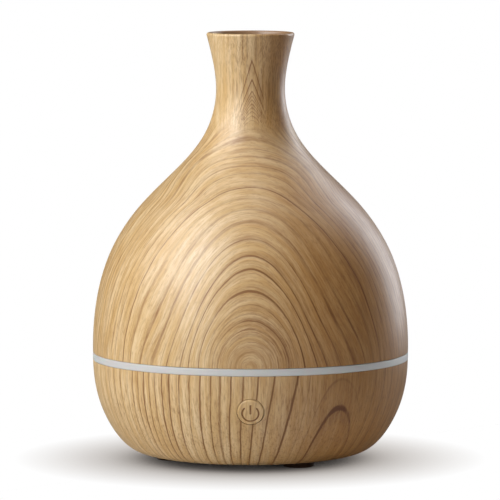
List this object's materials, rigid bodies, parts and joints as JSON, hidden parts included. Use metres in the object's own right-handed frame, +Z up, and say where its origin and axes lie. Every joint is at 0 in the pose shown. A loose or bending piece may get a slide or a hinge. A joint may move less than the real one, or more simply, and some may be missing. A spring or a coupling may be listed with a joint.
{
  "type": "essential oil diffuser",
  "caption": "Vase-shaped ultrasonic oil diffuser: wood-print cover with a flared mouth, frosted light ring, round base with a power button, water tank, fan and atomiser inside.",
  "frame": {"origin": "middle of the plane that the feet stand on, on the axis of the vase", "axes": "+Z up along the axis of the vase; -Y is the front, where the power button is; +X to the right seen from the front; the power inlet is at +Y"},
  "size_m": [0.15, 0.15, 0.203],
  "materials": {
    "wood_print": "satin wood-grain print on plastic",
    "frosted_ring": "frosted translucent plastic",
    "white_plastic": "moulded, satin",
    "tank_plastic": "translucent natural plastic",
    "brown_plastic": "fine spark texture",
    "brown_rubber": "moulded",
    "silicone": "translucent silicone",
    "screw_steel": "zinc plated",
    "disc_metal": "lapped stainless face",
    "clamp_steel": "stamped",
    "black_plastic": "moulded",
    "foam": "closed-cell foam",
    "circuit_green": "solder-masked laminate",
    "circuit_white": "white solder mask",
    "ferrite": "ferrite with enamelled copper winding",
    "capacitor_can": "sleeved can",
    "heat_sink_metal": "extruded",
    "connector_white": "moulded nylon",
    "contact_metal": "nickel plated",
    "lamp": "phosphor in a white frame",
    "lead_jacket": "soft PVC"
  },
  "bodies": {
    "base": {"base_shell": "wood_print", "base_plate": "brown_plastic", "base_screws": "screw_steel", "foot_1": "brown_rubber", "foot_2": "brown_rubber", "foot_3": "brown_rubber", "light_ring": "frosted_ring", "water_tank": "tank_plastic", "air_duct": "tank_plastic", "flange_seal": "silicone", "atomiser_disc": "disc_metal", "atomiser_seal": "silicone", "atomiser_clamp": "clamp_steel", "atomiser_screws": "screw_steel", "fan_frame": "black_plastic", "fan_screws": "screw_steel", "duct_seal": "foam", "driver_board": "circuit_green", "board_screws": "screw_steel", "inductors": "ferrite", "capacitors": "capacitor_can", "heat_sink": "heat_sink_metal", "power_transistor": "black_plastic", "controller_chip": "black_plastic", "board_connectors": "connector_white", "power_inlet": "black_plastic", "inlet_pin": "contact_metal", "led_board": "circuit_white", "leds": "lamp", "led_screws": "screw_steel", "tact_switch": "black_plastic", "button_board": "circuit_green", "button_board_screws": "screw_steel", "button_lead": "lead_jacket", "fan_lead": "lead_jacket", "atomiser_lead": "lead_jacket", "lamp_lead": "lead_jacket"},
    "cover": {"cover_shell": "wood_print", "mist_guide": "white_plastic", "guide_screws": "screw_steel"},
    "button": {"power_button": "wood_print", "switch_plunger": "black_plastic"},
    "fan": {"fan_rotor": "black_plastic"}
  },
  "joints": [
    {"name": "cover_lift", "type": "slide", "parent": "base", "child": "cover", "axis": [0, 0, 1], "range_m": [0, 0.16]},
    {"name": "button_press", "type": "slide", "parent": "base", "child": "button", "axis": [0, 0.9667, 0.2559], "range_m": [0, 0.0005], "stiffness_N_per_m": 800, "springref_m": -0.001},
    {"name": "fan_spin", "type": "hinge", "parent": "base", "child": "fan", "pos_m": [0.037, 0, 0.013], "axis": [0, 0, 1], "continuous": true}
  ]
}
